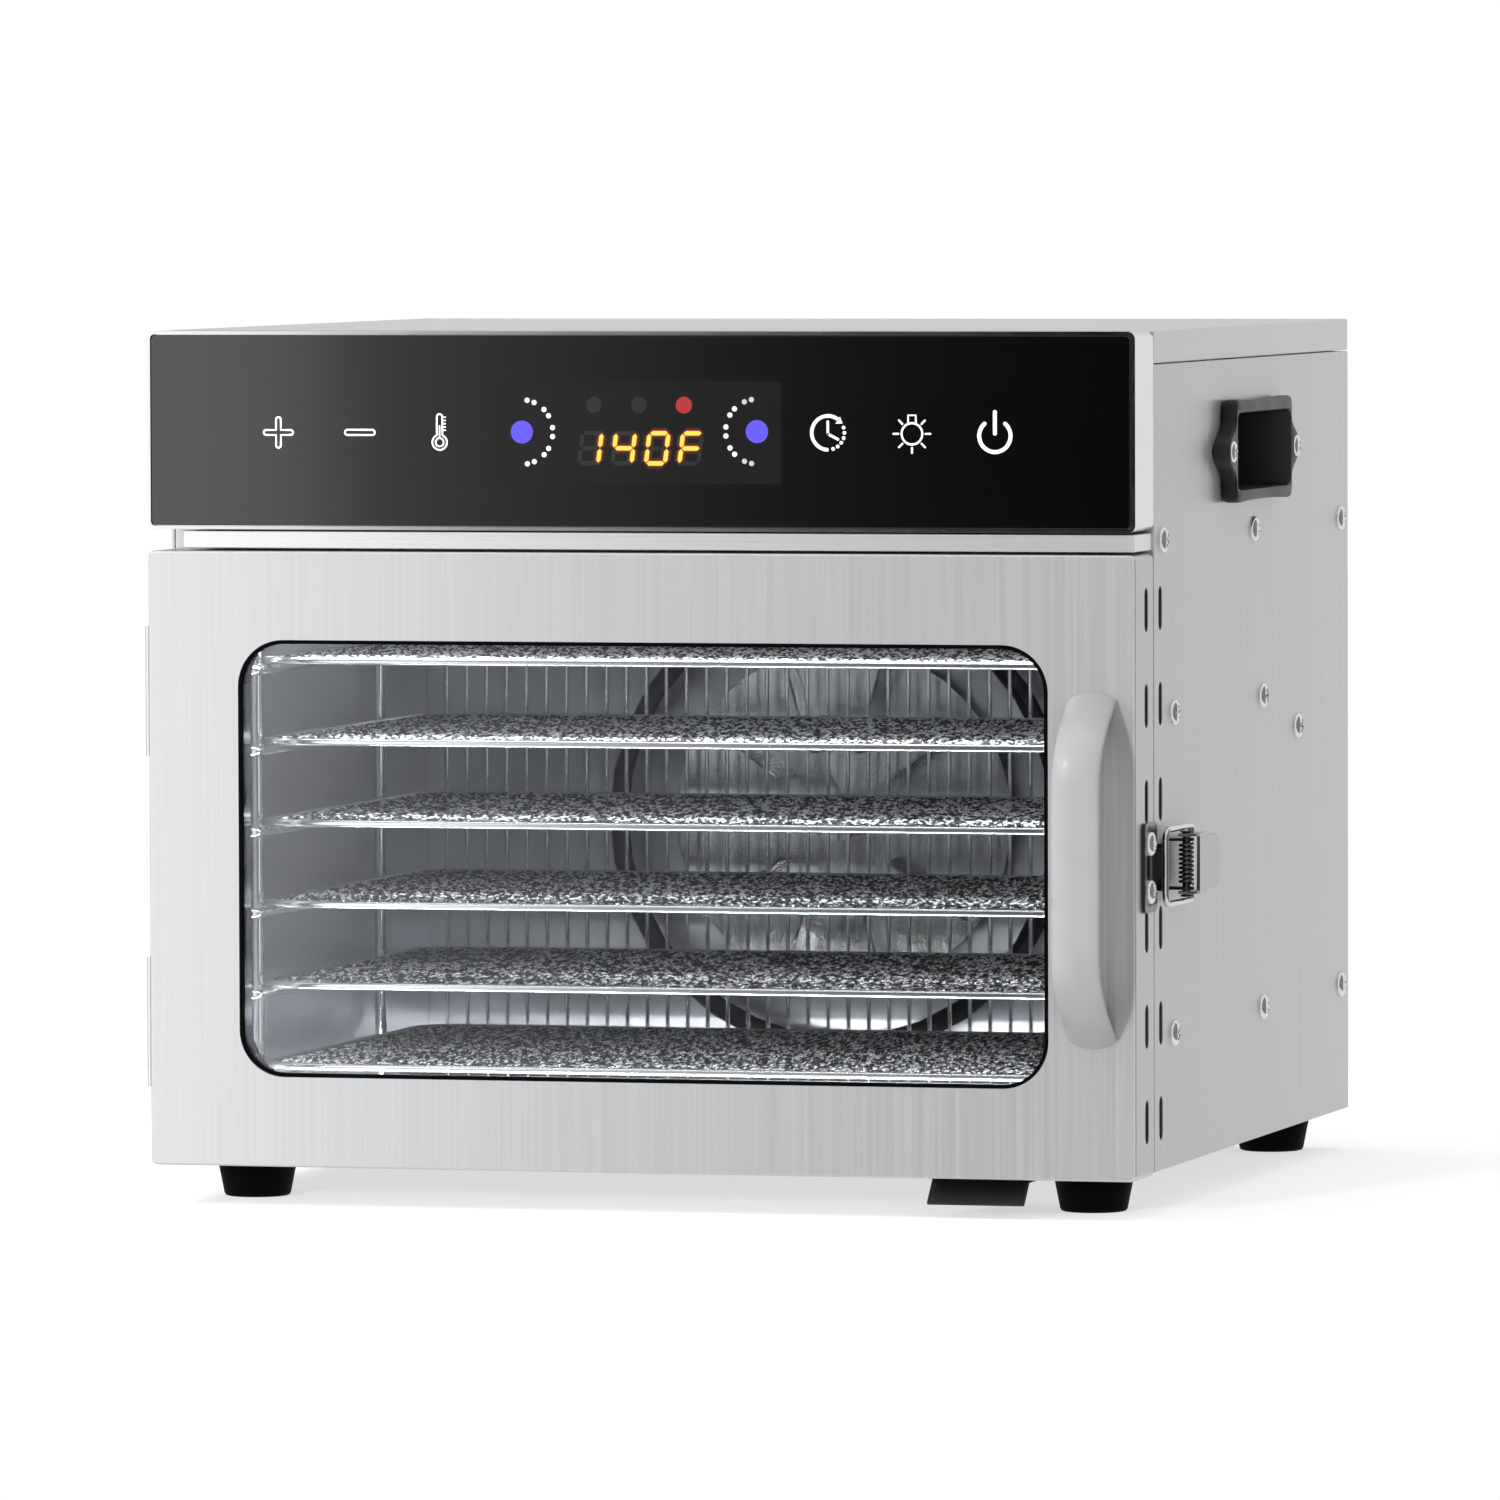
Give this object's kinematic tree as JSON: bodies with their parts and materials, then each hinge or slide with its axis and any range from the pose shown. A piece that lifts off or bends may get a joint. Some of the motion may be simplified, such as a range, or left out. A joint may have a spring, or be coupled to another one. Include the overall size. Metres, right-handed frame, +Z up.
{
  "type": "food dehydrator",
  "caption": "Countertop food dehydrator: steel cabinet, glazed left-hung door with bow handle and draw latch, pull-out wire trays, rear fan and glass touch panel.",
  "frame": {"origin": "centre of the bounding box's underside, on the surface that the feet stand on", "axes": "+Z up; the door faces -Y and is hung on the -X side; the draw latch is on the +X side"},
  "size_m": [0.4098, 0.405, 0.336],
  "materials": {
    "brushed_steel": "stainless steel brushed with an upright grain",
    "polished_steel": "bright mill-finish stainless steel",
    "galvanised_steel": "dull zinc-coated steel",
    "tray_wire": "electropolished stainless wire",
    "chrome": "bright chrome plate",
    "dark_metal": "dark satin metal",
    "silver_paint": "satin silver paint",
    "black_glass": "gloss black printed glass",
    "clear_glass": "clear tempered glass",
    "black_plastic": "satin moulded plastic",
    "black_rubber": "matte rubber",
    "silicone": "matte grey silicone",
    "circuit_board": "green solder mask"
  },
  "bodies": {
    "housing": {"left_side_panel": "brushed_steel", "right_side_panel": "brushed_steel", "top_cover": "brushed_steel", "base_panel": "galvanised_steel", "rear_panel": "brushed_steel", "front_frame": "brushed_steel", "cavity_left_wall": "polished_steel", "cavity_right_wall": "polished_steel", "cavity_ceiling": "polished_steel", "cavity_floor": "polished_steel", "rear_baffle": "polished_steel", "fan_guard": "polished_steel", "left_tray_rack": "polished_steel", "right_tray_rack": "polished_steel", "fan_motor": "galvanised_steel", "heater_ring": "dark_metal", "temperature_sensor": "polished_steel", "cavity_lamp": "clear_glass", "control_bezel": "polished_steel", "control_glass": "black_glass", "display_module": "black_plastic", "touch_board": "circuit_board", "power_board": "circuit_board", "header_strip": "brushed_steel", "lower_hinge_body_leaf": "polished_steel", "lower_hinge_pin": "polished_steel", "upper_hinge_body_leaf": "polished_steel", "upper_hinge_pin": "polished_steel", "latch_base": "chrome", "latch_pin": "chrome", "latch_spring": "dark_metal", "left_handle_cup": "black_plastic", "right_handle_cup": "black_plastic", "front_left_foot": "black_rubber", "front_right_foot": "black_rubber", "rear_left_foot": "black_rubber", "rear_right_foot": "black_rubber", "door_rest": "dark_metal", "mains_inlet": "black_plastic"},
    "door": {"door_shell": "brushed_steel", "door_liner": "polished_steel", "door_glass": "clear_glass", "window_gasket": "black_rubber", "door_seal": "silicone", "door_handle": "silver_paint", "lower_hinge_door_leaf": "polished_steel", "upper_hinge_door_leaf": "polished_steel", "latch_keeper": "chrome"},
    "latch_lever_body": {"latch_lever": "chrome"},
    "latch_bail_body": {"latch_bail": "chrome"},
    "fan_rotor": {"fan_impeller": "polished_steel", "fan_shaft": "polished_steel"},
    "tray_1_body": {"tray_1": "tray_wire"},
    "tray_2_body": {"tray_2": "tray_wire"},
    "tray_3_body": {"tray_3": "tray_wire"},
    "tray_4_body": {"tray_4": "tray_wire"},
    "tray_5_body": {"tray_5": "tray_wire"},
    "tray_6_body": {"tray_6": "tray_wire"}
  },
  "joints": [
    {"name": "door_hinge", "type": "hinge", "parent": "housing", "child": "door", "pos_m": [-0.2001, -0.14125, 0.13375], "axis": [0, 0, -1], "range_deg": [0, 170]},
    {"name": "latch_lever_pivot", "type": "hinge", "parent": "housing", "child": "latch_lever_body", "pos_m": [0.2004, -0.11725, 0.1327], "axis": [0, 0, -1], "range_deg": [0, 150]},
    {"name": "latch_bail_pivot", "type": "hinge", "parent": "latch_lever_body", "child": "latch_bail_body", "pos_m": [0.2004, -0.10925, 0.1327], "axis": [0, 0, -1], "range_deg": [-181, 0]},
    {"name": "fan_spin", "type": "hinge", "parent": "housing", "child": "fan_rotor", "pos_m": [-0.0016, 0.1375, 0.135], "axis": [0, 1, 0], "continuous": true},
    {"name": "tray_1_slide", "type": "slide", "parent": "housing", "child": "tray_1_body", "axis": [0, -1, 0], "range_m": [0, 0.143]},
    {"name": "tray_2_slide", "type": "slide", "parent": "housing", "child": "tray_2_body", "axis": [0, -1, 0], "range_m": [0, 0.143]},
    {"name": "tray_3_slide", "type": "slide", "parent": "housing", "child": "tray_3_body", "axis": [0, -1, 0], "range_m": [0, 0.143]},
    {"name": "tray_4_slide", "type": "slide", "parent": "housing", "child": "tray_4_body", "axis": [0, -1, 0], "range_m": [0, 0.143]},
    {"name": "tray_5_slide", "type": "slide", "parent": "housing", "child": "tray_5_body", "axis": [0, -1, 0], "range_m": [0, 0.143]},
    {"name": "tray_6_slide", "type": "slide", "parent": "housing", "child": "tray_6_body", "axis": [0, -1, 0], "range_m": [0, 0.143]}
  ],
  "couplings": [
    {"joint": "latch_bail_pivot", "follows": "latch_lever_pivot", "ratio": -1.2},
    {"joint": "tray_1_slide", "follows": "door_hinge", "m_per_rad": 0.048},
    {"joint": "tray_2_slide", "follows": "door_hinge", "m_per_rad": 0.048},
    {"joint": "tray_3_slide", "follows": "door_hinge", "m_per_rad": 0.048},
    {"joint": "tray_4_slide", "follows": "door_hinge", "m_per_rad": 0.048},
    {"joint": "tray_5_slide", "follows": "door_hinge", "m_per_rad": 0.048},
    {"joint": "tray_6_slide", "follows": "door_hinge", "m_per_rad": 0.048}
  ]
}
